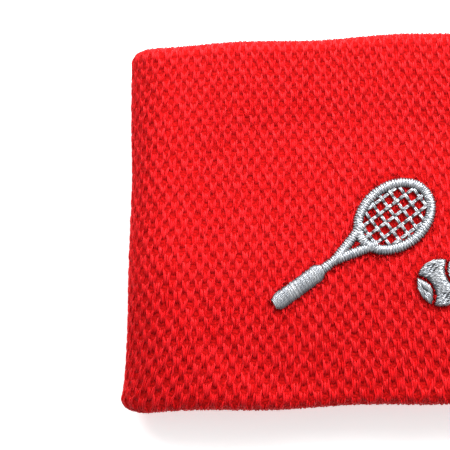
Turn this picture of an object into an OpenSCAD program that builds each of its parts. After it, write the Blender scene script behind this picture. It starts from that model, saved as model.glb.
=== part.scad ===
// Sweat wristband, laid flat: a knitted tube turned in on itself at both ends and linked
// by one seam on the inside, with an embroidered racket and ball on the front wall.
// Millimetres. X runs across the flattened band, Y along the tube, Z up through both walls.
// The origin is the centre of the face that the band rests on.

/* [Band] */
// Width of the band laid flat
band_w = 88; // [80:1:110]
// Length of the tube, from the forearm edge to the hand edge
band_l = 69; // [60:1:90]
// Free height between the front and back linings at rest
gap_h = 5.8; // [5:0.1:8]

/* [Plies] */
// Thickness of the outer knit
outer_t = 1.5; // [1.3:0.1:1.8]
// Space between the plies, for the elastic, the backing and the bobbin thread
ply_gap = 1; // [1:0.1:1.3]
// Thickness of the terry lining, loops included
lining_t = 1.6; // [1.4:0.1:2]

/* [Elastic] */
// Diameter of one elastic yarn
elastic_d = 0.4; // [0.2:0.05:0.4]
// Distance between elastic yarns along the tube
elastic_pitch = 3.2; // [2.4:0.2:6]

/* [Seam and label] */
// Place of the linking seam along the tube
seam_y = -12; // [-14:1:-8]
// Width of the linking seam
seam_w = 1.6; // [1.2:0.1:2]
// Diameter of the linking thread
stitch_d = 0.4; // [0.3:0.05:0.5]
// Length of one linking stitch, across the seam
stitch_l = 3.2; // [2.4:0.1:4]
// Distance between linking stitches
stitch_pitch = 2.4; // [2:0.2:4]
// Width of the care label
label_w = 12; // [8:1:20]
// Length of the care label's free flap
label_l = 13; // [9:1:15]
// Thickness of the folded care label
label_t = 0.5; // [0.4:0.1:0.6]

/* [Embroidery] */
// Height of the satin stitches above the knit
satin_t = 0.6; // [0.4:0.1:0.9]
// Distance from the middle of the band to the middle of the emblem, towards the forearm
emblem_drop = 4.8; // [2:0.4:8]
// Tilt of the racket above the X axis
racket_tilt = 34; // [28:1:40]
// Half the length of the racket's head
head_a = 8.4; // [7.6:0.2:8.8]
// Half the width of the racket's head
head_b = 6.4; // [5.4:0.2:6.8]
// Width of the satin columns that draw the racket
column_w = 1.8; // [1.4:0.1:2]
// Width of the racket's grip
grip_w = 3.4; // [2.8:0.2:3.8]
// Distance between the racket's strings
string_pitch = 2; // [1.8:0.1:2.4]
// Radius of the ball
ball_r = 4.3; // [3.6:0.1:4.6]

/* [Hidden] */
$fn = 64;

// The front wall lies above the back wall
FRONT = 1;
BACK = -1;
// The hand goes in at the forearm edge and out at the hand edge
HAND = 1;
FOREARM = -1;

wall_t = outer_t + ply_gap + lining_t;
band_h = 2 * wall_t + gap_h;
mid_z = band_h / 2;

// Outer radius of the side folds, and the X of their centres
fold_r = band_h / 2;
fold_x = band_w / 2 - fold_r;
// Outer radius of the turned edges, and the Y of their centres
turn_r = wall_t / 2;
turn_y = band_l / 2 - turn_r;
// Radii of the lining at the side folds
lining_r = fold_r - outer_t - ply_gap;
inner_r = lining_r - lining_t;

// Clearance between the front and back halves, and round the label's flap
split_gap = 0.3;
// Clearance between the elastic and the lining
elastic_gap = 0.05;
// Larger than the whole band, to cut it in two with
block = 2 * band_w;

// The seam's edges along the tube
seam_y0 = seam_y - seam_w / 2;
seam_y1 = seam_y + seam_w / 2;

// The label's root lies on the back lining, over the seam
lining_z = wall_t;
root_y0 = seam_y - stitch_l / 2;
root_y1 = seam_y + stitch_l / 2;
flap_y0 = root_y1 + split_gap;
flap_z = lining_z + split_gap;

// Layers under the embroidery
backing_t = 0.3;
bobbin_t = 0.2;
backing_w = 40;
backing_l = 27;
backing_corner_r = 3;
backing_z = band_h - outer_t - backing_t;
bobbin_z = backing_z - bobbin_t;

// The racket runs along its own U axis, from the butt to the tip of its head
head_u = 9.6;
shaft_u = -4;
grip_u = -7;
butt_u = -18;
throat_angle = 150;
string_w = 0.5;
string_t = 0.4;
thread_gap = 0.1;
racket_place = [-2.2, -0.5];
ball_place = [13.5, -7.6];
ball_seam_r = 3.6;
ball_seam_offset = 5.4;
ball_seam_gap = 0.5;
ball_turn = 25;

knit_red = [0.86, 0.07, 0.11];
terry_red = [0.76, 0.05, 0.09];
thread_silver = [0.72, 0.74, 0.76];
thread_white = [0.93, 0.93, 0.91];
rubber_white = [0.85, 0.84, 0.80];

// ---- Tube walls ----

// Cross-section of the flattened tube, of radius r at its side folds
module stadium(r) {
  square([2 * fold_x, 2 * r], center = true);
  for (side = [-1, 1])
    translate([side * fold_x, 0])
      circle(r = r);
}

// Keeps the front or the back half of a tube
module half_of_tube(side) {
  intersection() {
    children();
    translate([0, 0, mid_z + side * (block + split_gap) / 2])
      cube(block, center = true);
  }
}

// One half of a ply, from outer radius r inwards by t, between two places on the tube
module ply(side, r, t, y0, y1) {
  half_of_tube(side)
    translate([0, y1, mid_z])
      rotate([90, 0, 0])
        linear_extrude(height = y1 - y0)
          difference() {
            stadium(r);
            stadium(r - t);
          }
}

// Profile of a turned edge: half a ring, on the side of the tube's end
module turned_profile(end) {
  intersection() {
    difference() {
      circle(r = turn_r);
      circle(r = turn_r - outer_t);
    }
    translate([end * turn_r, 0])
      square(2 * turn_r, center = true);
  }
}

// The knit where it turns from the outside to the inside, along one end of one half
module turned_edge(side, end) {
  half_of_tube(side)
    translate([0, end * turn_y, mid_z]) {
      translate([0, 0, side * (fold_r - turn_r)])
        rotate([90, 0, 90])
          linear_extrude(height = 2 * fold_x, center = true)
            turned_profile(end);
      for (right = [0, 1])
        mirror([right, 0, 0])
          translate([-fold_x, 0, 0])
            rotate([-90, 0, 0])
              rotate([0, 0, 90])
                rotate_extrude(angle = 180)
                  translate([fold_r - turn_r, 0])
                    rotate(90)
                      turned_profile(end);
    }
}

module outer_knit(side) {
  color(knit_red)
    ply(side, fold_r, outer_t, -turn_y, turn_y);
}

module hand_edge(side) {
  color(knit_red)
    turned_edge(side, HAND);
}

module forearm_edge(side) {
  color(knit_red)
    turned_edge(side, FOREARM);
}

module lining_hand(side) {
  color(terry_red)
    ply(side, lining_r, lining_t, seam_y1, turn_y);
}

module lining_forearm(side) {
  color(terry_red)
    ply(side, lining_r, lining_t, -turn_y, seam_y0);
}

// ---- Elastic ----

// One elastic yarn's way round half of the tube
module elastic_yarn(side, r) {
  half_of_tube(side)
    translate([0, 0, mid_z]) {
      translate([0, 0, side * r])
        rotate([0, 90, 0])
          cylinder(d = elastic_d, h = 2 * fold_x, center = true);
      for (right = [0, 1])
        mirror([right, 0, 0])
          translate([-fold_x, 0, 0])
            rotate([-90, 0, 0])
              rotate([0, 0, 90])
                rotate_extrude(angle = 180)
                  translate([r, 0])
                    circle(d = elastic_d);
    }
}

module elastic_yarns(side) {
  r = lining_r + elastic_gap + elastic_d / 2;
  reach = turn_y - elastic_pitch / 2;
  count = floor(2 * reach / elastic_pitch);
  color(rubber_white)
    for (i = [0 : count])
      translate([0, (i - count / 2) * elastic_pitch, 0])
        elastic_yarn(side, r);
}

// ---- Linking seam ----

module linking_seam(side) {
  color(terry_red)
    ply(side, lining_r, lining_t, seam_y0, seam_y1);
}

// A point at distance s round half of the tube, at radius r, as [x, height above the middle]
function half_path(s, r) =
  let (
    fold = r * PI / 2,
    flat = 2 * fold_x,
    before = s / r * 180 / PI,
    after = (s - fold - flat) / r * 180 / PI
  )
  s < fold ? [-fold_x - r * cos(before), r * sin(before)]
  : s < fold + flat ? [-fold_x + s - fold, r]
  : [fold_x + r * sin(after), r * cos(after)];

module stitch(length, y) {
  translate([0, y, 0])
    rotate([90, 0, 0])
      cylinder(d = stitch_d, h = length, center = true);
}

// Stitches across the seam, left out where the label's own stitches take their place
module seam_stitches(side) {
  r = inner_r - stitch_d / 2;
  total = PI * r + 2 * fold_x;
  count = floor(total / stitch_pitch);
  color(terry_red)
    for (i = [0 : count - 1]) {
      p = half_path(total / 2 + (i - (count - 1) / 2) * stitch_pitch, r);
      if (side == FRONT || abs(p.x) > (label_w + stitch_pitch) / 2)
        translate([p.x, 0, mid_z + side * p.y])
          stitch(stitch_l, seam_y);
    }
}

// ---- Care label ----

// The end of the label that is caught in the seam
module care_label_root() {
  color(thread_white)
    translate([-label_w / 2, root_y0, lining_z])
      cube([label_w, root_y1 - root_y0, label_t]);
}

// The free, folded flap of the label, which lifts off the lining
module care_label_flap() {
  color(thread_white)
    translate([-label_w / 2, flap_y0, flap_z])
      cube([label_w, label_l, label_t]);
}

module label_stitches() {
  count = floor(label_w / stitch_pitch);
  color(terry_red)
    for (i = [0 : count - 1])
      translate([(i - (count - 1) / 2) * stitch_pitch, 0, lining_z + label_t + stitch_d / 2])
        stitch(seam_w, seam_y);
}

// ---- Emblem ----

// Puts the racket's own U and V axes onto the band's front
module on_racket() {
  translate([racket_place.x, racket_place.y - emblem_drop])
    rotate(racket_tilt)
      children();
}

module on_ball() {
  translate([ball_place.x, ball_place.y - emblem_drop])
    rotate(ball_turn)
      children();
}

// A block of satin stitches on the front of the knit
module satin(height) {
  color(thread_silver)
    translate([0, 0, band_h])
      linear_extrude(height = height)
        children();
}

// The racket head's outline, made smaller by inset
module head_outline(inset) {
  step = 360 / $fn;
  translate([head_u, 0])
    polygon([
      for (t = [0 : step : 360 - step])
        [(head_a - inset) * cos(t), (head_b - inset) * sin(t)]
    ]);
}

// A bar of width w along the U axis
module bar(u0, u1, w) {
  translate([min(u0, u1), -w / 2])
    square([abs(u1 - u0), w]);
}

module frame_outline(w) {
  difference() {
    head_outline((column_w - w) / 2);
    head_outline((column_w + w) / 2);
  }
}

// One arm of the throat, from the side of the head to the top of the shaft
module throat_arm(side, w) {
  start = [head_u + head_a * cos(throat_angle), side * (head_b * sin(throat_angle) - w / 4)];
  end = [shaft_u - w / 2, side * w / 4];
  run = end - start;
  translate(start)
    rotate(atan2(run.y, run.x))
      bar(-w / 2, norm(run), w);
}

module throat_outline(w) {
  difference() {
    for (side = [-1, 1])
      throat_arm(side, w);
    head_outline(-thread_gap);
    bar(shaft_u, shaft_u - 2 * column_w, 2 * grip_w);
  }
}

module grip_outline(w) {
  bar(grip_u - thread_gap, butt_u + w / 2, w);
  translate([butt_u + w / 2, 0])
    circle(d = w);
}

// Strings along the racket, then across it, cut to the inside of the frame
module string_grid() {
  a = head_a - column_w - thread_gap;
  b = head_b - column_w - thread_gap;
  mains = floor((b - string_w) / string_pitch);
  crosses = floor((a - string_w) / string_pitch);
  translate([head_u, 0]) {
    for (i = [-mains : mains]) {
      v = abs(i * string_pitch) + string_w / 2;
      u = a * sqrt(1 - pow(v / b, 2));
      translate([0, i * string_pitch])
        square([2 * u, string_w], center = true);
    }
    for (i = [-crosses : crosses]) {
      u = abs(i * string_pitch) + string_w / 2;
      v = b * sqrt(1 - pow(u / a, 2));
      translate([i * string_pitch, 0])
        square([string_w, 2 * v], center = true);
    }
  }
}

module racket_frame() {
  satin(satin_t) on_racket() frame_outline(column_w);
}

module racket_strings() {
  satin(string_t) on_racket() string_grid();
}

module racket_throat() {
  satin(satin_t) on_racket() throat_outline(column_w);
}

module racket_shaft() {
  satin(satin_t) on_racket() bar(shaft_u - thread_gap, grip_u + thread_gap, column_w);
}

module racket_grip() {
  satin(satin_t) on_racket() grip_outline(grip_w);
}

// The part of the ball beyond one of its curved seams
module ball_side_panel(side) {
  satin(satin_t)
    on_ball()
      intersection() {
        circle(r = ball_r);
        translate([side * ball_seam_offset, 0])
          circle(r = ball_seam_r - ball_seam_gap / 2);
      }
}

module ball_middle_panel() {
  satin(satin_t)
    on_ball()
      difference() {
        circle(r = ball_r);
        for (side = [-1, 1])
          translate([side * ball_seam_offset, 0])
            circle(r = ball_seam_r + ball_seam_gap / 2);
      }
}

// ---- Behind the emblem ----

// Stabiliser sheet on the inside of the outer knit
module emblem_backing() {
  color(thread_white)
    translate([0, -emblem_drop, backing_z])
      linear_extrude(height = backing_t) {
        square([backing_w, backing_l - 2 * backing_corner_r], center = true);
        square([backing_w - 2 * backing_corner_r, backing_l], center = true);
        for (x = [-1, 1], y = [-1, 1])
          translate([x * (backing_w / 2 - backing_corner_r), y * (backing_l / 2 - backing_corner_r)])
            circle(r = backing_corner_r);
      }
}

// The lower thread of the embroidery, along the middle of each satin column
module emblem_bobbin_thread() {
  w = column_w / 2;
  color(thread_white)
    translate([0, 0, bobbin_z])
      linear_extrude(height = bobbin_t) {
        on_racket() {
          frame_outline(w);
          bar(head_u - head_a + column_w / 2, grip_u, w);
          grip_outline(grip_w / 2);
        }
        on_ball()
          circle(r = ball_r - w);
      }
}

outer_knit(FRONT);  // outer_knit_front
outer_knit(BACK);  // outer_knit_back
hand_edge(FRONT);  // hand_edge_front
hand_edge(BACK);  // hand_edge_back
forearm_edge(FRONT);  // forearm_edge_front
forearm_edge(BACK);  // forearm_edge_back
lining_hand(FRONT);  // lining_hand_front
lining_hand(BACK);  // lining_hand_back
lining_forearm(FRONT);  // lining_forearm_front
lining_forearm(BACK);  // lining_forearm_back
elastic_yarns(FRONT);  // elastic_yarns_front
elastic_yarns(BACK);  // elastic_yarns_back
linking_seam(FRONT);  // linking_seam_front
linking_seam(BACK);  // linking_seam_back
seam_stitches(FRONT);  // seam_stitches_front
seam_stitches(BACK);  // seam_stitches_back
emblem_backing();
emblem_bobbin_thread();
racket_frame();
racket_strings();
racket_throat();
racket_shaft();
racket_grip();
ball_side_panel(-1);  // ball_left_panel
ball_middle_panel();
ball_side_panel(1);  // ball_right_panel
care_label_root();
care_label_flap();
label_stitches();
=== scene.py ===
"""Looks of the sweat wristband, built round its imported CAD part.

Every textile piece lies on one carrier: the wall of the tube as a closed surface. A place on
it is s, round the tube from the middle of the front, and v, along the wall's own outline from
the middle of the outside over the hand edge. h is a height off it. Lengths are in metres.
"""
import itertools
import math

import bpy
import numpy as np
from mathutils import Matrix, Vector

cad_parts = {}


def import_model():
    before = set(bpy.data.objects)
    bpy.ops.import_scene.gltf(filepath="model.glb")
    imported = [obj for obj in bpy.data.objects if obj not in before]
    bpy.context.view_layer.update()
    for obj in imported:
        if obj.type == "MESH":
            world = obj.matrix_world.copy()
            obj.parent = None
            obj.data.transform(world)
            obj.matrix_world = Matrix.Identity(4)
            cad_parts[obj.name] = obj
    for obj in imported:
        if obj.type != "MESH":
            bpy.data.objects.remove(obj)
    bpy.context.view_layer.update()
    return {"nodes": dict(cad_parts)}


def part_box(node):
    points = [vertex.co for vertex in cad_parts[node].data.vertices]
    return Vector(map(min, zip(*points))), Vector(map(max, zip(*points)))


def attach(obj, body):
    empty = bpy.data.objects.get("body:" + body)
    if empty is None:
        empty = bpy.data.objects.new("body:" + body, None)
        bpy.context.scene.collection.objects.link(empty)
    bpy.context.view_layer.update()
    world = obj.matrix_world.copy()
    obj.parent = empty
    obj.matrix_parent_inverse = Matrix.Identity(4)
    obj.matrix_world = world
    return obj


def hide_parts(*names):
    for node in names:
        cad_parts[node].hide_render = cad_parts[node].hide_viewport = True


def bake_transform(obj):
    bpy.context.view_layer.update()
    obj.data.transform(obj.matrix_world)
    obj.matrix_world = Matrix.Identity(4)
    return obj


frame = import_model()
MM = 0.001
TAU = 2 * math.pi
rng = np.random.default_rng(7)


# ---- Sizes, read from the CAD part ----

def corners(node):
    """The lowest and highest corners of a CAD node."""
    low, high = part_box(node)
    return np.array(low), np.array(high)


def centre_xy(node):
    """The centre of a CAD node's box, in X and Y."""
    low, high = corners(node)
    return (low + high)[:2] / 2


def reach(node, centre, direction):
    """How far a CAD node reaches from a centre, both ways along a direction in X and Y."""
    points = np.array([v.co for v in frame["nodes"][node].data.vertices])
    along = (points[:, :2] - centre) @ direction
    return along.min(), along.max()


BAND_H = corners("outer_knit_front")[1][2]
MID_Z = BAND_H / 2
FOLD_R = BAND_H / 2
FOLD_X = corners("outer_knit_front")[1][0] - FOLD_R
TURN_Y = corners("outer_knit_front")[1][1]
HALF_L = corners("hand_edge_front")[1][1]
TURN_R = HALF_L - TURN_Y
WALL_T = 2 * TURN_R
INNER_R = FOLD_R - WALL_T
OUTER_T = BAND_H - corners("emblem_backing")[1][2]
LINING_T = WALL_T - corners("lining_hand_back")[0][2]
SEAM_Y = np.array([corners("linking_seam_back")[0][1], corners("linking_seam_back")[1][1]])

# Lengths of the carrier's two outlines
HALF_TURN = math.pi * TURN_R
OUTLINE = 4 * TURN_Y + 2 * HALF_TURN
INSIDE_V = 2 * TURN_Y + HALF_TURN


# ---- The carrier ----

FLAT_U, FOLD_U = 30, 8
FLAT_V, TURN_V = 26, 4
puffed = np.zeros((2 * (FLAT_U + FOLD_U), 2 * (FLAT_V + TURN_V)))


def girth(radius):
    """The way round the tube at a radius of its side folds."""
    return 4 * FOLD_X + TAU * radius


def racetrack(s, flat, radius):
    """A place on a closed outline of two straights and two half circles, as the place along
    the straights, the outward normal (across, up) and the place as 0 to 4, a stretch each."""
    half = flat + math.pi * radius
    s = np.mod(s + flat / 2, 2 * half)
    behind = s >= half
    s = np.where(behind, s - half, s)
    angle = np.clip((s - flat) / radius, 0, None)
    side = np.where(behind, -1.0, 1.0)
    along = np.minimum(s, flat)
    stretch = np.where(behind, 2.0, 0.0) + along / flat + angle / math.pi
    return side * (along - flat / 2), side * np.sin(angle), side * np.cos(angle), stretch


def grid_place(stretch, flat_cells, turn_cells):
    """A place from 0 to 4 as a place on the simulated grid."""
    k = np.minimum(np.floor(stretch), 3).astype(int)
    start = np.array([0, flat_cells, flat_cells + turn_cells, 2 * flat_cells + turn_cells])
    cells = np.array([flat_cells, turn_cells, flat_cells, turn_cells])
    return start[k] + (stretch - k) * cells[k]


def cubic(f):
    """Catmull-Rom weights of the four grid points round a place f between the middle two."""
    return np.stack([
        ((2 - f) * f - 1) * f / 2,
        ((3 * f - 5) * f * f + 2) / 2,
        ((4 - 3 * f) * f + 1) * f / 2,
        (f - 1) * f * f / 2,
    ])


def puff(around, along):
    """How far the cloth simulation pushed the wall out at a place on the carrier."""
    gu = grid_place(around, FLAT_U, FOLD_U)
    gv = grid_place(along, FLAT_V, TURN_V)
    iu, iv = np.floor(gu).astype(int), np.floor(gv).astype(int)
    wu, wv = cubic(gu - iu), cubic(gv - iv)
    nu, nv = puffed.shape
    total = 0
    for a in range(4):
        for b in range(4):
            total = total + wu[a] * wv[b] * puffed[(iu + a - 1) % nu, (iv + b - 1) % nv]
    return total


# The slack shape. Places along Y run from -1 at the forearm edge to 1 at the hand edge.
FLARE = 0.038
FLARE_END, FLARE_END_START = 0.024, 0.6
PINCH, PINCH_AT, PINCH_SPREAD = 1.0 * MM, 0.22, 0.36
TALLER, TALLER_END = 0.0036, 0.0090
SAG = 0.24 * MM
WAVE_X_TURNS, WAVE_X_START, WAVE_X_ACROSS = 0.8, 0.1, 1.3
WAVE_Y_LENGTH, WAVE_Y_LEAN = 30 * MM, 0.98
CORNER_DROP, CORNER_START, CORNER_MOST = 0.20, 0.6, 0.5
EDGE_DROP, DROP_START, DROP_POWER = 0.25, 0.2, 1.5
CORNER_ROUND, ROUND_START_X, ROUND_START_Y = 2.0 * MM, 0.88, 0.85


def slacken(p):
    """The slack shape that the band lies in: wider towards the forearm edge, with soft waves."""
    x, y, z = np.moveaxis(p, -1, 0)
    t = y / HALF_L
    ends = np.clip(-t - FLARE_END_START, 0, None) / (1 - FLARE_END_START)
    pinch = PINCH * np.exp(-((t - PINCH_AT) / PINCH_SPREAD) ** 2)
    wide = 1 - FLARE * t + FLARE_END * ends ** 2 - pinch / (FOLD_X + FOLD_R)
    wave_x = SAG * np.sin(TAU * (t * WAVE_X_TURNS + WAVE_X_START)) * np.sin(x / FOLD_X * WAVE_X_ACROSS)
    wave_y = SAG * np.sin(TAU * x / WAVE_Y_LENGTH + WAVE_Y_LEAN * (1 - t)) * np.abs(t)
    tall = 1 + TALLER + TALLER_END * x / FOLD_X
    near_fold = np.clip(np.abs(x) / FOLD_X - CORNER_START, 0, CORNER_MOST) / CORNER_MOST
    corner = (np.clip(-t, 0, 1) * near_fold) ** 2
    slope = np.clip((-t - DROP_START) / (1 - DROP_START), 0, 1) ** DROP_POWER
    drop = CORNER_DROP * corner + EDGE_DROP * slope
    outer_x = np.clip((np.abs(x) / (FOLD_X + FOLD_R) - ROUND_START_X) / (1 - ROUND_START_X), 0, 1)
    outer_y = np.clip((-t - ROUND_START_Y) / (1 - ROUND_START_Y), 0, 1)
    rounded = CORNER_ROUND * outer_x ** 2 * outer_y
    return np.stack([x * wide + wave_x, y * tall + wave_y + rounded, z * (1 - drop)], -1)


def carry(s, v, h, radius=FOLD_R):
    """The point at a place on the carrier and a height off it. s is measured at the radius."""
    s, v, h = np.broadcast_arrays(*(np.asarray(a, float) for a in (s, v, h)))
    x, nx, nz, around = racetrack(s, 2 * FOLD_X, radius)
    y, ny, nh, along = racetrack(v, 2 * TURN_Y, TURN_R)
    h = h + puff(around, along)
    r = FOLD_R - TURN_R + nh * (TURN_R + h)
    p = np.stack([x + nx * r, y + ny * (TURN_R + h), MID_Z + nz * r], -1)
    return slacken(p)


def outward(s, v, radius=FOLD_R):
    """The carrier's outward normal."""
    s, v = np.broadcast_arrays(np.asarray(s, float), np.asarray(v, float))
    _, nx, nz, _ = racetrack(s, 2 * FOLD_X, radius)
    _, ny, nh, _ = racetrack(v, 2 * TURN_Y, TURN_R)
    return np.stack([nx * nh, ny, nz * nh], -1)


def inside(y):
    """The place along the outline where the lining is at that Y."""
    return INSIDE_V - y


# ---- The swelling of the wall, by cloth simulation ----

SWELL = 0.9 * MM
SWELL_SIDE = 0.45 * MM
SIM_SCALE = 20.0
SIM_FRAMES = 20
PRESSURE = 1.0
STRETCH_STIFFNESS = 400
BEND_STIFFNESS = 50
EMBLEM_HOLD, HOLD_FADE = 0.45, 5 * MM
SEAM_HOLD = 1.5 * MM


def grid_lines(flat, radius, flat_cells, turn_cells):
    """Places of the simulated grid's lines along an outline."""
    lines = []
    for k, cells in enumerate((flat_cells, turn_cells, flat_cells, turn_cells)):
        long = flat if k % 2 == 0 else math.pi * radius
        lines += [long * i / cells + (lines[-1] + step if lines else 0) for i in range(cells)]
        step = long / cells
    return np.array(lines) - flat / 2


def held(s, v):
    """How firmly each point of the simulated wall is held: at the seam, and by the emblem."""
    low, high = corners("emblem_backing")
    in_x = np.clip((high[0] - np.abs(s - (low[0] + high[0]) / 2)) / HOLD_FADE + 0.5, 0, 1)
    middle, half = (low[1] + high[1]) / 2, (high[1] - low[1]) / 2
    in_y = np.clip((half - np.abs(v - middle)) / HOLD_FADE + 0.5, 0, 1)
    at_seam = np.abs(v - inside(SEAM_Y.mean())) < SEAM_HOLD
    return np.maximum(EMBLEM_HOLD * in_x * in_y, at_seam)


def swelling():
    """How far padding swells each point of the wall outwards, from a pressure simulation."""
    s, v = np.meshgrid(grid_lines(2 * FOLD_X, FOLD_R, FLAT_U, FOLD_U),
                       grid_lines(2 * TURN_Y, TURN_R, FLAT_V, TURN_V), indexing="ij")
    start = carry(s, v, 0)
    nu, nv = s.shape
    number = np.arange(nu * nv).reshape(nu, nv)
    quads = np.stack([number, np.roll(number, -1, 1), np.roll(number, (-1, -1), (0, 1)),
                      np.roll(number, -1, 0)], -1).reshape(-1, 4)
    mesh = bpy.data.meshes.new("swelling")
    mesh.from_pydata((start.reshape(-1, 3) * SIM_SCALE).tolist(), [], quads.tolist())
    wall = bpy.data.objects.new("swelling", mesh)
    scene = bpy.context.scene
    scene.collection.objects.link(wall)
    pin = wall.vertex_groups.new(name="held")
    for i, weight in enumerate(held(s, v).ravel()):
        if weight > 0:
            pin.add([i], float(weight), "REPLACE")
    cloth = wall.modifiers.new("cloth", "CLOTH")
    settings = cloth.settings
    settings.vertex_group_mass = pin.name
    settings.use_pressure = True
    settings.uniform_pressure_force = PRESSURE
    settings.effector_weights.gravity = 0
    settings.tension_stiffness = settings.compression_stiffness = STRETCH_STIFFNESS
    settings.bending_stiffness = BEND_STIFFNESS
    cloth.point_cache.frame_start, cloth.point_cache.frame_end = 1, SIM_FRAMES
    for step in range(1, SIM_FRAMES + 1):
        scene.frame_set(step)
    seen = wall.evaluated_get(bpy.context.evaluated_depsgraph_get()).to_mesh()
    end = np.empty(len(seen.vertices) * 3, np.float32)
    seen.vertices.foreach_get("co", end)
    moved = end.reshape(start.shape) / SIM_SCALE - start
    bpy.data.objects.remove(wall)
    scene.frame_set(1)
    out = (moved * outward(s, v)).sum(-1)
    return limited(out, s, v)


def limited(out, s, v):
    """The swelling kept small: full on the front, less on the folds, and none where the band
    rests on its back or where the lining faces the label."""
    _, _, nz, _ = racetrack(s, 2 * FOLD_X, FOLD_R)
    _, _, nh, _ = racetrack(v, 2 * TURN_Y, TURN_R)
    front = np.clip(nz, 0, 1)
    side = 1 - np.abs(nz)
    most = (SWELL * front + SWELL_SIDE * side) * np.clip(nh, 0, 1)
    return most * (1 - np.exp(-np.clip(out, 0, None) / np.maximum(most, 1e-6)))


# ---- Meshes ----

def unit(a):
    return a / np.maximum(np.linalg.norm(a, axis=-1, keepdims=True), 1e-12)


class Piece:
    """Gathers yarns and plies into one mesh. Each yarn is a closed tube, and each ply a
    closed slab, with a patch of its own in the UV map."""

    PLY_SHARE = 0.3
    MARGIN = 0.06

    def __init__(self, name):
        self.name = name
        self.materials = []
        self.points, self.fibre, self.shade, self.deep = [], [], [], []
        self.loops, self.totals, self.slots, self.patches = [], [], [], []
        self.rims = []
        self.count = 0
        self.used = {"ply": 0, "yarn": 0}

    def slot(self, material):
        if material not in self.materials:
            self.materials.append(material)
        return self.materials.index(material)

    def store(self, points, fibre, shade, deep):
        start = self.count
        self.points.append(points.reshape(-1, 3))
        self.fibre.append(fibre.reshape(-1, 3))
        self.shade.append(shade.ravel())
        self.deep.append(deep.ravel())
        self.count += points.size // 3
        return start

    def faces(self, numbers, material, uv, kind, patch):
        """Faces as rows of point numbers, with their UVs and the patch that each is on."""
        n, sides = numbers.shape
        self.loops.append(numbers.ravel())
        self.totals.append(np.full(n, sides))
        self.slots.append(np.full(n, self.slot(material)))
        self.patches.append((kind, np.repeat(patch, sides), uv.reshape(-1, 2)))

    def yarns(self, path, normal, wide, thick, material, sides=6, deep=0.0):
        """Yarns along paths (n, rings, 3). wide and thick are half sizes along and off the
        cloth, and deep says how far each ring lies in the shade of others, from 0 to 1."""
        n, rings, _ = path.shape
        forward = unit(np.gradient(path, axis=1))
        across = unit(np.cross(forward, normal))
        up = np.cross(across, forward)
        angle = np.arange(sides) * TAU / sides
        wide, thick = (np.broadcast_to(a, (n, rings)) for a in (wide, thick))
        points = (path[:, :, None]
                  + across[:, :, None] * (wide[..., None] * np.cos(angle))[..., None]
                  + up[:, :, None] * (thick[..., None] * np.sin(angle))[..., None])
        steps = np.linalg.norm(np.diff(path, axis=1), axis=2)
        along = np.concatenate([np.zeros((n, 1)), np.cumsum(steps, axis=1)], axis=1) / MM
        along = along + rng.random((n, 1)) * 5
        fibre = np.empty((n, rings, sides, 3))
        fibre[..., 0] = np.cos(angle)
        fibre[..., 1] = np.sin(angle)
        fibre[..., 2] = along[..., None]
        shade = np.broadcast_to(rng.random((n, 1, 1)), (n, rings, sides))
        deep = np.broadcast_to(deep, (n, rings))
        start = self.store(points, fibre, shade, np.repeat(deep[..., None], sides, 2))

        first = self.used["yarn"]
        self.used["yarn"] += n
        i, r, c = np.meshgrid(np.arange(n), np.arange(rings - 1), np.arange(sides), indexing="ij")
        i, r, c = i.ravel(), r.ravel(), c.ravel()
        after = (c + 1) % sides
        ring = (i * rings + r) * sides
        quads = start + np.stack([ring + sides + c, ring + sides + after, ring + after, ring + c], 1)
        u0, u1 = r / (rings - 1), (r + 1) / (rings - 1)
        w0, w1 = c / sides, (c + 1) / sides
        uv = np.stack([np.stack([u1, w0], 1), np.stack([u1, w1], 1),
                       np.stack([u0, w1], 1), np.stack([u0, w0], 1)], 1)
        self.faces(quads, material, uv, "yarn", first + i)
        each = np.arange(n)
        around = np.arange(sides)
        for ring, order, u in ((0, around, 0.0), (rings - 1, around[::-1], 1.0)):
            caps = start + (each[:, None] * rings + ring) * sides + order[None, :]
            uv = np.stack([np.full((n, sides), u), np.broadcast_to(order / sides, (n, sides))], 2)
            self.faces(caps, material, uv, "yarn", first + each)

    def ply(self, s, v, top, bottom, material, radius=FOLD_R):
        """A slab of cloth between two heights off the carrier, over places s by v."""
        s, v = np.meshgrid(s, v, indexing="ij")
        top = np.broadcast_to(top, s.shape)
        self.slab(np.stack([carry(s, v, top, radius), carry(s, v, bottom, radius)]), material)

    def slab(self, points, material):
        """A closed slab of cloth from its upper and lower sides, points (2, a, b, 3)."""
        _, a, b, _ = points.shape
        flat_fibre = np.broadcast_to(np.array([1.0, 0.0, 0.0]), points.shape)
        shade = np.full(points.shape[:3], 0.5)
        start = self.store(points, flat_fibre, shade, np.ones(points.shape[:3]))
        number = start + np.arange(2 * a * b).reshape(2, a, b)
        u, w = np.meshgrid(np.linspace(0, 1, a), np.linspace(0, 1, b), indexing="ij")
        place = np.stack([u * 0.5, w], -1), np.stack([0.5 + u * 0.5, w], -1)
        patch = self.used["ply"]
        self.used["ply"] += 1

        def sheet(grid, uv, flip):
            near, far = slice(None, -1), slice(1, None)
            ring = [(near, near), (far, near), (far, far), (near, far)][::-1 if flip else 1]
            quads = np.stack([grid[c].ravel() for c in ring], 1)
            maps = np.stack([uv[c].reshape(-1, 2) for c in ring], 1)
            self.faces(quads, material, maps, "ply", np.full(len(quads), patch))

        sheet(number[0], place[0], False)
        sheet(number[1], place[1], True)
        for strip, uv, flip in ((number[:, 0, :], place[0][0], True),
                                (number[:, -1, :], place[0][-1], False),
                                (number[:, :, 0], place[0][:, 0], False),
                                (number[:, :, -1], place[0][:, -1], True)):
            sheet(strip, np.stack([uv, uv]), flip)
            self.rims.append(np.stack([strip[:, :-1], strip[:, 1:]], -1).reshape(-1, 2))

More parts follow.
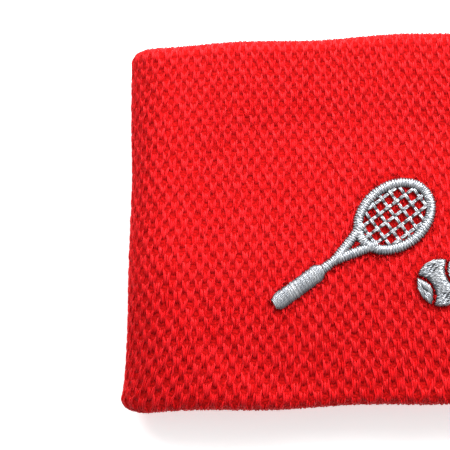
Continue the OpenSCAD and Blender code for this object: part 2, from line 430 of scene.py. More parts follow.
    def atlas(self):
        """UVs of all corners: the plies side by side below, the yarns in a grid above."""
        plies, yarns = self.used["ply"], self.used["yarn"]
        share = self.PLY_SHARE if plies and yarns else (1.0 if plies else 0.0)
        columns = max(1, math.ceil(math.sqrt(max(yarns, 1) * 0.75)))
        rows = max(1, math.ceil(yarns / columns))
        parts = []
        for kind, patch, uv in self.patches:
            inset = self.MARGIN + (1 - 2 * self.MARGIN) * uv
            if kind == "ply":
                parts.append(np.stack([(patch + inset[:, 0]) / plies, inset[:, 1] * share], 1))
            else:
                parts.append(np.stack([
                    (patch % columns + inset[:, 0]) / columns,
                    share + (1 - share) * (patch // columns + inset[:, 1]) / rows], 1))
        return np.concatenate(parts)

    def sharpen(self, mesh):
        """Makes the slabs' rims sharp, so that no shading runs from a side to a closing wall."""
        ends = np.empty(2 * len(mesh.edges), np.int32)
        mesh.edges.foreach_get("vertices", ends)
        rims, edges = (np.sort(a.astype(np.int64).reshape(-1, 2), 1) @ [self.count, 1]
                       for a in (np.concatenate(self.rims), ends))
        sharp = mesh.attributes.new("sharp_edge", "BOOLEAN", "EDGE")
        sharp.data.foreach_set("value", np.isin(edges, rims))

    def make(self):
        points = np.concatenate(self.points)
        points[:, 2] = np.maximum(points[:, 2], 0)
        totals = np.concatenate(self.totals)
        loops = np.concatenate(self.loops)
        mesh = bpy.data.meshes.new(self.name)
        mesh.vertices.add(len(points))
        mesh.vertices.foreach_set("co", points.astype(np.float32).ravel())
        mesh.loops.add(len(loops))
        mesh.loops.foreach_set("vertex_index", loops.astype(np.int32))
        mesh.polygons.add(len(totals))
        starts = np.concatenate([[0], np.cumsum(totals)[:-1]])
        mesh.polygons.foreach_set("loop_start", starts.astype(np.int32))
        mesh.polygons.foreach_set("material_index", np.concatenate(self.slots).astype(np.int32))
        mesh.update(calc_edges=True)
        mesh.shade_smooth()
        if self.rims:
            self.sharpen(mesh)
        layer = mesh.uv_layers.new(name="OFBake")
        layer.data.foreach_set("uv", self.atlas().astype(np.float32).ravel())
        for name, kind, values in (("fibre", "FLOAT_VECTOR", self.fibre),
                                   ("shade", "FLOAT", self.shade), ("deep", "FLOAT", self.deep)):
            attribute = mesh.attributes.new(name, kind, "POINT")
            key = "vector" if kind == "FLOAT_VECTOR" else "value"
            attribute.data.foreach_set(key, np.concatenate(values).astype(np.float32).ravel())
        for material in self.materials:
            mesh.materials.append(material)
        made = bpy.data.objects.new(self.name, mesh)
        bpy.context.scene.collection.objects.link(made)
        return made


# ---- Materials ----

def put(tree, node, **inputs):
    """Sets or links a node's inputs by name, or by number as _0, _1 and so on."""
    for name, value in inputs.items():
        key = int(name[1:]) if name[0] == "_" else name.replace("_", " ")
        socket = node.inputs[key]
        if isinstance(value, bpy.types.NodeSocket):
            tree.links.new(value, socket)
        else:
            socket.default_value = value
    return node


class Shader:
    """A procedural material in the making."""

    def __init__(self, name, **surface):
        self.material = bpy.data.materials.new(name)
        self.material.use_nodes = True
        self.tree = self.material.node_tree
        self.surface = self.tree.nodes["Principled BSDF"]
        put(self.tree, self.surface, **surface)

    def node(self, kind, settings=(), **inputs):
        made = self.tree.nodes.new("ShaderNode" + kind)
        for name, value in dict(settings).items():
            setattr(made, name, value)
        return put(self.tree, made, **inputs)

    def attribute(self, name):
        return self.node("Attribute", {"attribute_name": name})

    def maths(self, operation, *values):
        inputs = {f"_{i}": value for i, value in enumerate(values)}
        return self.node("Math", {"operation": operation}, **inputs).outputs[0]

    def noise(self, scale, detail=2.0):
        place = self.node("TexCoord").outputs["Object"]
        return self.node("TexNoise", Vector=place, Scale=scale, Detail=detail).outputs[0]

    def ramp(self, factor, *stops):
        """Two colours blended along a factor, each as (place, (red, green, blue))."""
        made = self.node("ValToRGB", Fac=factor)
        for element, (place, colour) in zip(made.color_ramp.elements, stops):
            element.position = place
            element.color = (*colour, 1)
        return made.outputs[0]

    def twist(self, turns, strands):
        """Ridges that wind along a yarn, from -1 to 1."""
        parts = self.node("SeparateXYZ", _0=self.attribute("fibre").outputs["Vector"])
        angle = self.maths("ARCTAN2", parts.outputs[1], parts.outputs[0])
        wound = self.maths("MULTIPLY_ADD", parts.outputs[2], TAU * turns,
                           self.maths("MULTIPLY", angle, float(strands)))
        return self.maths("COSINE", wound)

    def bump(self, height, distance):
        made = self.node("Bump", Height=height, Distance=distance, Strength=1.0)
        put(self.tree, self.surface, Normal=made.outputs[0])

    def done(self, colour):
        put(self.tree, self.surface, Base_Color=colour)
        return self.material


def yarn_material(name, dark, light, deep, roughness, turns=0.55, ply_depth=0.05 * MM,
                  specular=0.2, sheen=0.25, hair=0.3, metallic=0.0, strands=2):
    """Spun yarn: each yarn has a tint of its own, and its strands wind round it. The colour is mixed
    towards the colour deep by the attribute deep, as painted shade where the yarn lies in the shade of
    others.
    """
    made = Shader(name, Roughness=roughness, Specular_IOR_Level=specular, Sheen_Weight=sheen,
                  Sheen_Roughness=0.5, Metallic=metallic)
    twist = made.twist(turns, strands)
    fuzz = made.noise(9000.0, 3.0)
    tint = made.maths("MULTIPLY_ADD", made.attribute("shade").outputs["Fac"], 0.5,
                      made.maths("MULTIPLY", fuzz, 0.5))
    # The twist lightens the ridges and darkens the grooves of the colour: painted shade between the
    # strands.
    tint = made.maths("MULTIPLY_ADD", twist, 0.22, tint)
    colour = made.ramp(tint, (0.15, dark), (0.85, light))
    # Painted shade: the colour darkens towards deep where the attribute deep says the yarn lies in the
    # shade of others.
    shaded = made.node("Mix", {"data_type": "RGBA"}, _0=made.attribute("deep").outputs["Fac"],
                       _6=colour, _7=(*deep, 1))
    height = made.maths("MULTIPLY_ADD", made.noise(14000.0, 2.0), hair, twist)
    made.bump(height, ply_depth)
    return made.done(shaded.outputs[2])


def cloth_material(name, dark, light, cell, roughness=0.9, depth=0.15 * MM):
    """The ground of a knitted ply, with its stitches too fine to be modelled one by one. Its colour
    darkens where the bump sinks between the cells, as painted shade in those recesses.
    """
    made = Shader(name, Roughness=roughness, Specular_IOR_Level=0.15)
    place = made.node("TexCoord").outputs["Object"]
    cells = made.node("TexVoronoi", Vector=place, Scale=1 / cell).outputs["Distance"]
    tint = made.maths("MULTIPLY_ADD", cells, 0.7, made.maths("MULTIPLY", made.noise(4000.0), 0.4))
    made.bump(made.maths("MULTIPLY", cells, -1.0), depth)
    return made.done(made.ramp(tint, (0.2, light), (0.8, dark)))


RED_DARK = (0.74, 0.002, 0.003)
RED_LIGHT = (0.98, 0.018, 0.026)
# The colour that the red yarns darken to where they lie in the shade of others: painted shade.
RED_PAINTED_SHADE = (0.60, 0.001, 0.001)
KNIT_YARN = yarn_material("knit_yarn", RED_DARK, RED_LIGHT, RED_PAINTED_SHADE, 0.5, specular=0.16,
                          sheen=0.0, turns=0.3, strands=3, ply_depth=0.09 * MM)
# The ground ply is coloured darker than the yarns above it: painted shade in the dimples between the
# stitches.
KNIT_GROUND = cloth_material("knit_ground", (0.40, 0.001, 0.001), (0.57, 0.001, 0.001), 0.5 * MM)
TERRY_YARN = yarn_material("terry_yarn", (0.58, 0.003, 0.004), (0.86, 0.010, 0.014), RED_PAINTED_SHADE,
                           0.85, turns=0.8, specular=0.08, sheen=0.1)
TERRY_CLOTH = cloth_material("terry_ground", (0.22, 0.0, 0.001), (0.50, 0.002, 0.003), 0.4 * MM)
# The satin thread darkens to nearly black at its ends, where it lies in the shade of others: painted
# shade.
SATIN = yarn_material("satin_thread", (0.23, 0.25, 0.28), (0.54, 0.55, 0.57), (0.06, 0.06, 0.07),
                      0.36, turns=1.1, ply_depth=0.02 * MM, specular=0.5, sheen=0.0, hair=0.1,
                      metallic=0.7)
BOBBIN = yarn_material("bobbin_thread", (0.62, 0.62, 0.60), (0.80, 0.80, 0.78), (0.3, 0.3, 0.3), 0.5)
LINKING = yarn_material("linking_thread", (0.50, 0.003, 0.005), (0.72, 0.008, 0.012), RED_PAINTED_SHADE,
                        0.5, turns=0.9, specular=0.12, sheen=0.0)
ELASTIC = yarn_material("elastic_yarn", (0.55, 0.53, 0.48), (0.78, 0.76, 0.70), (0.3, 0.3, 0.28),
                        0.55, turns=0.4)
FLEECE = cloth_material("backing_fleece", (0.62, 0.62, 0.60), (0.84, 0.84, 0.82), 0.35 * MM)
LABEL = cloth_material("label_satin", (0.66, 0.66, 0.65), (0.86, 0.86, 0.85), 0.12 * MM,
                       roughness=0.45, depth=0.02 * MM)


# ---- The outer knit ----

STRETCHES = ("front", "right_fold", "back", "left_fold")
WALES = 83
COURSES = 46
COURSE_GRADE = 0.14
KNIT_ROUND = 0.75
KNIT_TOP = TURN_Y + KNIT_ROUND * HALF_TURN
WALE_GRADE = (-0.07, 0.17)
GROUND_PLACES = (-KNIT_TOP, KNIT_TOP)
GROUND_TOP = (-0.37 * MM, -0.27 * MM)

# The strands that each side of a stitch shows, as they lean together downwards: where each lies
# in wales at its top and at its foot, how long it is and where its middle is in courses, its
# half sizes, and how low it lies
STRANDS = (
    dict(top=0.32, foot=0.13, long=1.9, middle=0.08, wide=0.23 * MM, thick=0.25 * MM, low=0.0),
    dict(top=0.13, foot=0.04, long=1.5, middle=-0.12, wide=0.25 * MM, thick=0.25 * MM,
         low=0.02 * MM),
)
STRAND_RINGS, STRAND_SIDES = 5, 4
TOP_DIP = 0.30 * MM
FOOT_DIP = 0.45 * MM


def wale_place(turn, v):
    """The place round the band of a wale, which leans to suit the slack shape. turn is 0 to 1."""
    angle = TAU * turn
    toward_hand = np.clip(v / KNIT_TOP, -1, 1) / 2 + 0.5
    grade = WALE_GRADE[1] + (WALE_GRADE[0] - WALE_GRADE[1]) * toward_hand
    return girth(FOLD_R) / TAU * (angle + grade * np.sin(angle))


def knit_cells():
    """The wale turn and the outline place of each stitch, with its course's height."""
    t = (np.arange(COURSES) + 0.5) / COURSES
    length = 2 * KNIT_TOP
    v = KNIT_TOP - length * ((1 - COURSE_GRADE) * t + COURSE_GRADE * t ** 2)
    tall = length / COURSES * (1 - COURSE_GRADE + 2 * COURSE_GRADE * t)
    turn = (np.arange(WALES)[None, :] + 0.5 * (np.arange(COURSES)[:, None] % 2)) / WALES
    turn = turn + rng.normal(0, 0.035 / WALES, turn.shape)
    v = v[:, None] + rng.normal(0, 0.05 * MM, turn.shape)
    return turn.ravel(), v.ravel(), np.repeat(tall, WALES)


PRESSED_DEPTH = 0.22 * MM
PRESSED_NEAR = 1.05 * MM


def pressed(s, v, holes):
    """How deep the tension of the stitches presses the knit beside the needle holes."""
    depth = np.zeros(s.size)
    place = np.stack([s.ravel(), v.ravel()], 1)
    low, high = holes.min(0) - 3 * PRESSED_NEAR, holes.max(0) + 3 * PRESSED_NEAR
    for i in np.flatnonzero(((place > low) & (place < high)).all(1)):
        near = ((holes - place[i]) ** 2).sum(1).min()
        depth[i] = PRESSED_DEPTH * math.exp(-near / PRESSED_NEAR ** 2)
    return depth.reshape(s.shape)


def strand_paths(turn, v, tall, strand, side, holes):
    """The centre lines of one strand on one side of each stitch, from its top to its foot."""
    t = np.linspace(-1, 1, STRAND_RINGS)[None, :]
    n = (len(turn), 1)
    down = (t + 1) / 2
    out = strand["top"] + (strand["foot"] - strand["top"]) * down ** 0.8
    out = (side * out + rng.normal(0, 0.02, n) + rng.normal(0, 0.04, n) * t) / WALES
    long = strand["long"] * (1 + rng.normal(0, 0.06, n))
    place = v[:, None] + tall[:, None] * (strand["middle"] - long * t / 2)
    dip = TOP_DIP * np.clip((-t - 0.3) / 0.7, 0, 1) ** 2 + FOOT_DIP * np.clip(t, 0, 1) ** 2
    s = wale_place(turn[:, None] + out, place)
    press = pressed(s, place, holes)
    h = -strand["thick"] - strand["low"] - dip - press + rng.normal(0, 0.03 * MM, n)
    # The strand's colour darkens with deep: painted shade where it dips into the knit and where the
    # emblem's stitches press it down.
    deep = np.clip((dip + strand["low"]) / FOOT_DIP + 0.8 * press / PRESSED_DEPTH, 0, 1)
    return s, place, h, deep


def knit(name, chosen, cells, columns, rows, holes):
    """One stretch of the outer knit: its stitches over the ground ply."""
    turn, v, tall = (a[chosen] for a in cells)
    made = Piece(name)
    for strand, side in itertools.product(STRANDS, (-1, 1)):
        s, place, h, deep = strand_paths(turn, v, tall, strand, side, holes)
        taper = 1 - 0.4 * np.linspace(-1, 1, STRAND_RINGS) ** 4
        made.yarns(carry(s, place, h), outward(s, place), strand["wide"] * taper, strand["thick"],
                   KNIT_YARN, STRAND_SIDES, deep)
    ground = np.interp(rows, GROUND_PLACES, GROUND_TOP)
    made.ply(columns, rows, ground[None, :], -OUTER_T, KNIT_GROUND)
    return made.make()


def stretch_span(number, radius=FOLD_R, step=1.2 * MM):
    """The places round the band at the ends of a stretch, and between."""
    ends = [-FOLD_X, FOLD_X, FOLD_X + math.pi * radius, 3 * FOLD_X + math.pi * radius,
            girth(radius) - FOLD_X]
    return rows_between(ends[number], ends[number + 1], step)


def rows_between(low, high, step=1.2 * MM):
    return np.linspace(low, high, max(2, round((high - low) / step)) + 1)


def settle(piece, number, nodes):
    """Puts a piece of the wall on its body, or across both where it is a side fold."""
    if STRETCHES[number].endswith("fold"):
        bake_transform(piece)
        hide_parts(*(f"{node}_{half}" for node in nodes for half in ("front", "back")))
    else:
        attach(piece, STRETCHES[number] + "_half")
        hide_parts(*(f"{node}_{STRETCHES[number]}" for node in nodes))


def settle_whole(piece, body, slot, *nodes):
    """Puts a piece that lies on one body there, in place of its CAD nodes."""
    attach(piece, body)
    if nodes:
        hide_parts(*nodes)


def outer_knit(holes):
    cells = knit_cells()
    turn, v, _ = cells
    around = racetrack(wale_place(turn, v), 2 * FOLD_X, FOLD_R)[3].astype(int)
    bands = (("knit", np.abs(v) <= TURN_Y, (-TURN_Y, TURN_Y), "outer_knit"),
             ("hand_turn", v > TURN_Y, (TURN_Y, TURN_Y + HALF_TURN), "hand_edge"),
             ("forearm_turn", v < -TURN_Y, (-TURN_Y - HALF_TURN, -TURN_Y), "forearm_edge"))
    for name, rows, (low, high), node in bands:
        step = 1.2 * MM if name == "knit" else 0.5 * MM
        for number, stretch in enumerate(STRETCHES):
            piece = knit(f"{name}_{stretch}", rows & (around == number), cells,
                         stretch_span(number), rows_between(low, high, step), holes)
            settle(piece, number, [node])


# ---- Satin embroidery ----

SATIN_PITCH = 0.24 * MM
SATIN_WIDE = 0.19 * MM
SATIN_THICK = 0.14 * MM
SATIN_TOP = corners("racket_frame")[1][2] - BAND_H
SATIN_SINK = 0.45 * MM
LONGEST_STITCH = 4.2 * MM
COLUMN_WIDE = 1.8 * MM
STRING_PITCH, STRING_STITCH = 2.0 * MM, 1.7 * MM
STRING_APART, STRING_UNDER = 0.13 * MM, 0.3 * MM
BALL_SEAM_R = 3.6 * MM
BALL_SEAM_X = 5.4 * MM
BALL_SEAM_GAP = 0.55 * MM


# A stitch along its length: the places of its rings, how high they arch, how thick they are
# and how far in the shade of others
STITCH_PLACES = np.array([0, 0.05, 0.22, 0.5, 0.78, 0.95, 1])
STITCH_ARCH = np.array([0, 0.38, 0.85, 1.0, 0.85, 0.38, 0])
STITCH_TAPER = np.array([0.45, 0.95, 1, 1, 1, 0.95, 0.45])
STITCH_DEEP = np.array([1, 0.7, 0.15, 0, 0.15, 0.7, 1.0])


class Threads:
    """The stitches of one embroidered area, gathered as straight runs on the front wall."""

    def __init__(self):
        self.ends, self.crown = [], []

    def line(self, a, b, crown=1.0):
        """One stitch from a to b, points in X and Y. crown scales how high it arches."""
        self.ends.append((a, b))
        self.crown.append(crown)

    def column(self, centre, across, half, crown=1.0):
        """A satin column: threads side by side across a centre line given by its points."""
        for i, (c, w) in enumerate(zip(centre, across)):
            slant = 0.45 * SATIN_PITCH * np.array([-w[1], w[0]]) * (1 if i % 2 else -1)
            edge = half + rng.normal(0, 0.05 * MM)
            self.line(c - w * edge - slant, c + w * edge + slant, crown)

    def fill(self, holds, middle, along, radius):
        """An area filled by rows of threads along a direction. holds says which points are in
        it. Long rows are broken into stitches, at places that change from row to row."""
        across = np.array([-along[1], along[0]])
        for i, row in enumerate(np.arange(-radius, radius, SATIN_PITCH)):
            t = np.linspace(-radius, radius, 400)
            points = middle + across * row + along * t[:, None]
            inside_it = np.flatnonzero(holds(points))
            if len(inside_it) < 12:
                continue
            low, high = t[inside_it[0]], t[inside_it[-1]]
            pieces = max(1, math.ceil((high - low) / LONGEST_STITCH))
            cuts = np.linspace(low, high, pieces + 1)
            if pieces > 1:
                cuts[1:-1] += ((i % 3) - 1) * 0.22 * (high - low) / pieces + rng.normal(0, 0.1 * MM)
            for a, b in zip(cuts[:-1], cuts[1:]):
                start = middle + across * row + along * a
                end = middle + across * row + along * b
                self.line(start, end + rng.normal(0, 0.03 * MM, 2))

    def make(self, name, material, top=SATIN_TOP, wide=SATIN_WIDE, thick=SATIN_THICK,
             sink=SATIN_SINK, arch=0.40 * MM):
        """The stitches as yarns. They arch over the knit and go down into it at their ends."""
        a = np.array([e[0] for e in self.ends])
        b = np.array([e[1] for e in self.ends])
        x = a[:, None] + (b - a)[:, None] * STITCH_PLACES[:, None]
        long = np.linalg.norm(b - a, axis=1)[:, None]
        crown = np.array(self.crown)[:, None] * np.minimum(1, long / COLUMN_WIDE)
        low = top - thick - arch * crown
        h = low + arch * crown * STITCH_ARCH + rng.normal(0, 0.02 * MM, (len(a), 1))
        h[:, [0, -1]] = top - thick - arch - sink
        made = Piece(name)
        made.yarns(carry(x[..., 0], x[..., 1], h), outward(x[..., 0], x[..., 1]),
                   wide * STITCH_TAPER, thick * STITCH_TAPER, material, 6, STITCH_DEEP)
        return made.make()


def turned(direction):
    return np.array([-direction[1], direction[0]])


class Emblem:
    """Where the racket and the ball lie, from the CAD part."""

    def __init__(self):
        self.head = centre_xy("racket_frame")
        self.axis = unit(self.head - centre_xy("racket_grip"))
        self.side = turned(self.axis)
        self.length = reach("racket_frame", self.head, self.axis)[1]
        self.width = reach("racket_frame", self.head, self.side)[1]
        self.shaft = reach("racket_shaft", self.head, self.axis)
        self.grip = reach("racket_grip", self.head, self.axis)
        self.grip_half = reach("racket_grip", self.head, self.side)[1]
        self.ball = centre_xy("ball_middle_panel")
        self.ball_axis = unit(centre_xy("ball_right_panel") - centre_xy("ball_left_panel"))
        self.ball_r = reach("ball_middle_panel", self.ball, turned(self.ball_axis))[1]

    def place(self, u, w):
        """A point at u along the racket and w across it."""
        return self.head + self.axis * u + self.side * w

    def rim(self, angle, inset):
        """A point of the head's rim, and the direction out of the head."""
        a, b = self.length - inset, self.width - inset
        point = self.place(a * math.cos(angle), b * math.sin(angle))
        out = self.axis * b * math.cos(angle) + self.side * a * math.sin(angle)
        return point, unit(out)


def head_stitches(emblem, threads):
    half = COLUMN_WIDE / 2
    way_round = TAU * math.sqrt(((emblem.length - half) ** 2 + (emblem.width - half) ** 2) / 2)
    steps = round(way_round / SATIN_PITCH)
    rim = [emblem.rim(TAU * (i + 0.5) / steps, half) for i in range(steps)]
    threads.column([p for p, _ in rim], [o for _, o in rim], half)


def string_stitches(emblem, threads):
    for direction, a, b in ((0, emblem.length, emblem.width), (1, emblem.width, emblem.length)):
        a, b = a - COLUMN_WIDE, b - COLUMN_WIDE
        count = int(b // STRING_PITCH)
        for i in range(-count, count + 1):
            w = i * STRING_PITCH
            half = a * math.sqrt(max(0, 1 - (w / b) ** 2)) + STRING_UNDER
            stitches = max(1, round(2 * half / STRING_STITCH))
            cuts = np.linspace(-half, half, stitches + 1)
            for low, high in zip(cuts[:-1], cuts[1:]):
                for across in (w - STRING_APART, w + STRING_APART):
                    ends = [(low, across), (high, across)]
                    if direction == 1:
                        ends = [end[::-1] for end in ends]
                    threads.line(*(emblem.place(*end) for end in ends), crown=0.6)


THROAT_ANGLE = math.radians(150)
GRIP_END = 0.62


def thread_places(low, high):
    """The places of the threads that lie side by side from one end of a column to the other."""
    steps = round((high - low) / SATIN_PITCH)
    return [low + (high - low) * (i + 0.5) / steps for i in range(steps)]


def throat_stitches(emblem, threads):
    for sign in (-1, 1):
        top, _ = emblem.rim(sign * THROAT_ANGLE, COLUMN_WIDE)
        foot = emblem.place(emblem.shaft[1], 0)
        long = np.linalg.norm(foot - top)
        along = (foot - top) / long
        centre = [top + along * u for u in thread_places(0, long)]
        threads.column(centre, [turned(along)] * len(centre), COLUMN_WIDE / 2)


def shaft_stitches(emblem, threads):
    centre = [emblem.place(u, 0) for u in thread_places(*emblem.shaft)]
    threads.column(centre, [emblem.side] * len(centre), COLUMN_WIDE / 2)


def grip_stitches(emblem, threads):
    """The grip, with ends that narrow over the last millimetre."""
    low, high = emblem.grip
    for u in thread_places(low, high):
        share = min(1.0, GRIP_END + (1 - GRIP_END) * min(u - low, high - u) / MM)
        threads.column([emblem.place(u, 0)], [emblem.side], emblem.grip_half * share)


def ball_holds(emblem, panel):
    """Which points are in one panel of the ball: -1 left, 0 middle, 1 right."""
    def holds(points):
        away = points - emblem.ball
        good = np.linalg.norm(away, axis=1) < emblem.ball_r
        for sign in (-1, 1):
            seam = np.linalg.norm(away - emblem.ball_axis * BALL_SEAM_X * sign, axis=1)
            if panel == sign:
                good &= seam < BALL_SEAM_R - BALL_SEAM_GAP / 2
            elif panel == 0:
                good &= seam > BALL_SEAM_R + BALL_SEAM_GAP / 2
        return good
    return holds


def planned_stitches():
    """The stitches of every embroidered area."""
    emblem = Emblem()
    parts = {}
    for name, stitches in (("racket_frame", head_stitches), ("racket_strings", string_stitches),
                           ("racket_throat", throat_stitches), ("racket_shaft", shaft_stitches),
                           ("racket_grip", grip_stitches)):
        parts[name] = Threads()
        stitches(emblem, parts[name])
    for name, panel in (("ball_left_panel", -1), ("ball_middle_panel", 0), ("ball_right_panel", 1)):
        parts[name] = Threads()
        along = emblem.ball_axis if panel == 0 else turned(emblem.ball_axis)
        parts[name].fill(ball_holds(emblem, panel), emblem.ball, along, emblem.ball_r)
    return parts


def embroidery(parts):
    for name, threads in parts.items():
        top = corners("racket_strings")[1][2] - BAND_H if name == "racket_strings" else SATIN_TOP
        piece = threads.make(name + "_stitches", SATIN, top)
        settle_whole(piece, "front_half", "satin_thread", name)
    lower = Threads()
    for threads in parts.values():
        lower.ends += threads.ends[::3]
        lower.crown += threads.crown[::3]
    bobbin_top = corners("emblem_bobbin_thread")[1][2] - BAND_H
    piece = lower.make("bobbin_thread", BOBBIN, bobbin_top, 0.10 * MM, 0.05 * MM, 0, 0.02 * MM)
    settle_whole(piece, "front_half", "bobbin_thread", "emblem_bobbin_thread")


PULLED_NEAR, PULLED_SHARE = 0.50 * MM, 0.8
PULLED_HIGH, PULLED_DROP, PULLED_WAVE = 0.06 * MM, 0.50 * MM, 0.08 * MM
PULLED_WIDE, PULLED_THICK = 0.11 * MM, 0.10 * MM
PULLED_TAPER = np.array([0.5, 0.9, 1, 1, 0.9, 0.5])
# PULLED_DEEP darkens the pulled yarns towards their ends: painted shade where they go into the knit.
PULLED_DEEP = np.array([0.8, 0.3, 0, 0, 0.3, 0.8])


def pulled_yarns(holes):
    """Red yarns that the needle has pulled up round the stitches of the emblem."""
    ends = holes[rng.random(len(holes)) < PULLED_SHARE]
    n = len(ends)
    middle = ends + rng.normal(0, PULLED_NEAR, (n, 2))
    long = rng.uniform(0.6, 1.3, n) * MM
    tilt = rng.normal(0, 0.40, n)[:, None]
    t = np.linspace(-0.5, 0.5, len(PULLED_TAPER))[None, :]
    wave = PULLED_WAVE * np.sin(t * 9 + tilt * 20)
    x = middle[:, :1] + long[:, None] * t * np.sin(tilt) + wave
    y = middle[:, 1:] + long[:, None] * t * np.cos(tilt)
    h = PULLED_HIGH - PULLED_DROP * (2 * t) ** 2 + rng.normal(0, 0.09 * MM, (n, 1))
    made = Piece("pulled_yarns")
    made.yarns(carry(x, y, h), outward(x, y), PULLED_WIDE * PULLED_TAPER,
               PULLED_THICK * PULLED_TAPER, KNIT_YARN, 5, PULLED_DEEP)
    settle_whole(made.make(), "front_half", "outer_knit")


def backing():
    """The non-woven sheet behind the emblem, between the plies."""
    low, high = corners("emblem_backing")
    made = Piece("emblem_backing_sheet")
    made.ply(rows_between(low[0], high[0], 1 * MM), rows_between(low[1], high[1], 1 * MM),
             high[2] - BAND_H, low[2] - BAND_H, FLEECE)
    piece = made.make()
    settle_whole(piece, "front_half", "backing_fleece", "emblem_backing")


# ---- The lining ----

TERRY_PITCH = 1.45 * MM
TERRY_COURSE = 1.15 * MM
TERRY_R = INNER_R + LINING_T / 2
TERRY_GROUND = -1.1 * MM
TERRY_SINK, TERRY_THICK, TERRY_LEAN = 0.1 * MM, 0.2 * MM, 0.28 * MM


def terry_loops(low, high):
    """Places of the terry loops between two places on the outline."""
    round_count = round(girth(TERRY_R) / TERRY_PITCH)
    courses = max(1, round((high - low) / TERRY_COURSE))
    i, j = np.meshgrid(np.arange(round_count), np.arange(courses), indexing="ij")
    s = (i + 0.5 * (j % 2)).ravel() / round_count * girth(TERRY_R)
    v = low + (j.ravel() + 0.5) / courses * (high - low)
    return s + rng.normal(0, 0.12 * MM, s.shape), v + rng.normal(0, 0.10 * MM, v.shape)


def terry(name, s, v, columns, rows):
    """One stretch of the lining: terry loops that stand on a knitted ground."""
    made = Piece(name)
    n = len(s)
    t = np.linspace(0, 1, 8)[None, :]
    turn = rng.uniform(0, math.pi, (n, 1))
    foot = rng.uniform(0.35, 0.6, (n, 1)) * MM
    swell = np.sin(math.pi * t)
    lean = rng.normal(0, TERRY_LEAN, (n, 2, 1)) * swell[:, None]
    bow = foot * np.cos(math.pi * t) * (0.55 + 0.45 * swell)
    ds = s[:, None] + bow * np.cos(turn) + lean[:, 0]
    dv = v[:, None] + bow * np.sin(turn) + lean[:, 1]
    high = swell ** 0.8
    h = TERRY_GROUND - TERRY_SINK + (TERRY_SINK - TERRY_GROUND - TERRY_THICK) * high
    h = h * rng.uniform(0.96, 1.0, (n, 1)) - rng.uniform(0, 0.15, (n, 1)) * MM * swell
    # The loops darken towards their feet, by 1 - high as deep: painted shade near the ground.
    made.yarns(carry(ds, dv, h, TERRY_R), outward(ds, dv, TERRY_R), TERRY_THICK, TERRY_THICK,
               TERRY_YARN, 5, 1 - high)
    made.ply(columns, rows, TERRY_GROUND, -LINING_T, TERRY_CLOTH, TERRY_R)
    return made.make()


def lining():
    hand_low, forearm_high = INSIDE_V - TURN_Y, OUTLINE - TURN_Y - HALF_TURN
    hand = (TURN_Y + KNIT_ROUND * HALF_TURN, inside(SEAM_Y[1]), hand_low)
    forearm = (inside(SEAM_Y[0]), OUTLINE - TURN_Y - KNIT_ROUND * HALF_TURN, forearm_high)
    for end, (low, high, edge) in (("hand", hand), ("forearm", forearm)):
        s, v = terry_loops(low, high)
        around = racetrack(s, 2 * FOLD_X, TERRY_R)[3].astype(int)
        span = (edge, high) if end == "hand" else (low, edge)
        for number, stretch in enumerate(STRETCHES):
            here = around == number
            piece = terry(f"terry_{end}_{stretch}", s[here], v[here], stretch_span(number, TERRY_R),
                          rows_between(*span))
            settle(piece, number, [f"lining_{end}"])


# ---- Seam, elastic and label ----

STITCH_D = corners("label_stitches")[1][2] - corners("care_label_root")[1][2]
STITCH_SPAN = corners("seam_stitches_back")[1][1] - corners("seam_stitches_back")[0][1]
SEAM_PITCH = 2.4 * MM
SEAM_CROWN, SEAM_GROOVE, SEAM_PULL = 0.15 * MM, 0.12 * MM, 0.05 * MM


def seam_ridge(number, stretch):
    """The two ends of the lining, joined: a low ridge that the stitches pull in."""
    v_low, v_high = inside(SEAM_Y[1]), inside(SEAM_Y[0])
    rows = rows_between(v_low, v_high, 0.2 * MM)
    columns = stretch_span(number, TERRY_R, 0.6 * MM)
    place = (rows - v_low) / (v_high - v_low) * 2 - 1
    crown = SEAM_CROWN * (1 - place ** 2) - SEAM_GROOVE * np.exp(-(place / 0.2) ** 2)
    pull = SEAM_PULL * np.cos(columns * TAU / SEAM_PITCH)
    made = Piece(f"seam_ridge_{stretch}")
    made.ply(columns, rows, crown[None, :] + pull[:, None] - SEAM_PULL, -LINING_T, TERRY_CLOTH,
             TERRY_R)
    settle(made.make(), number, ["linking_seam"])


def seam_thread(number, stretch):
    """The linking thread: a row of crossing stitches over the seam, left out under the label."""
    count = round(girth(TERRY_R) / SEAM_PITCH)
    s = (np.arange(count) + 0.5) / count * girth(TERRY_R)
    x, _, nz, around = racetrack(s, 2 * FOLD_X, TERRY_R)
    under_label = (nz < 0) & (np.abs(x) < corners("care_label_root")[1][0] + SEAM_PITCH / 2)
    s = s[(around.astype(int) == number) & ~under_label]
    t = np.linspace(0, 1, 9)[None, :]
    arch = np.sin(math.pi * t) ** 0.4
    middle = inside(SEAM_Y.mean())
    made = Piece(f"seam_thread_{stretch}")
    for side in (-1, 1):
        along = s[:, None] + side * 0.5 * SEAM_PITCH * (t - 0.5)
        across = middle + (t - 0.5) * STITCH_SPAN + 0 * along
        h = STITCH_D * (0.5 + 0.12 * side) - 0.6 * MM * (1 - arch) + 0 * along
        # The thread darkens where it dips into the seam, by 1 - arch as deep: painted shade.
        made.yarns(carry(along, across, h, TERRY_R), outward(along, across, TERRY_R),
                   STITCH_D * 0.42, STITCH_D * 0.36, LINKING, 6, 1 - arch)
    settle(made.make(), number, ["seam_stitches"])


def seam():
    for number, stretch in enumerate(STRETCHES):
        seam_ridge(number, stretch)
        seam_thread(number, stretch)


ELASTIC_R, ELASTIC_PITCH = 0.2 * MM, 3.2 * MM
ELASTIC_DEPTH = FOLD_R - 4.75 * MM
ELASTIC_WAVE, ELASTIC_WAVE_LENGTH = 0.12 * MM, 5 * MM


